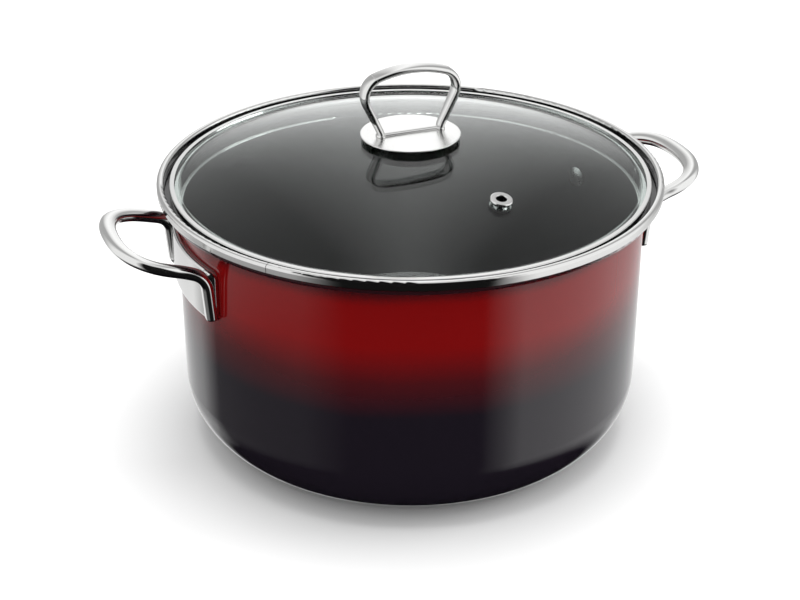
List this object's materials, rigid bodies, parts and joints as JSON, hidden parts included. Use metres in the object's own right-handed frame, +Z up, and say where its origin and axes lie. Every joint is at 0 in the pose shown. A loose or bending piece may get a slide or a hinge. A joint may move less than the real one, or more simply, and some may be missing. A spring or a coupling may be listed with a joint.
{
  "type": "stock pot",
  "caption": "Low enamelled steel stock pot with steel side handles, a steel-rimmed domed glass lid, a loop knob and a steam vent.",
  "frame": {"origin": "bottom centre: the pot's axis where it meets the surface that the pot stands on", "axes": "+Z up along the pot's axis, +X towards the right side handle, -Y towards the steam vent"},
  "size_m": [0.3238, 0.261, 0.2004],
  "materials": {
    "enamel": "gloss",
    "band_steel": "polished",
    "handle_steel": "satin",
    "rivet_steel": "satin",
    "glass": "polished",
    "ring_steel": "polished",
    "vent_steel": "polished",
    "silicone": "matte",
    "knob_steel": "polished",
    "fixing_steel": "satin"
  },
  "bodies": {
    "pot": {"pot_shell": "enamel", "rim_band": "band_steel", "left_handle": "handle_steel", "right_handle": "handle_steel", "left_handle_rivets": "rivet_steel", "right_handle_rivets": "rivet_steel"},
    "lid": {"lid_glass": "glass", "lid_ring": "ring_steel", "vent_eyelet": "vent_steel", "vent_gasket": "silicone", "vent_washer": "fixing_steel", "knob_base": "knob_steel", "knob_loop": "knob_steel", "knob_gasket": "silicone", "knob_seal": "silicone", "knob_washer": "fixing_steel", "knob_screw": "fixing_steel"}
  },
  "joints": [
    {"name": "lid_lift", "type": "slide", "parent": "pot", "child": "lid", "axis": [0, 0, 1], "range_m": [0, 0.12]}
  ]
}
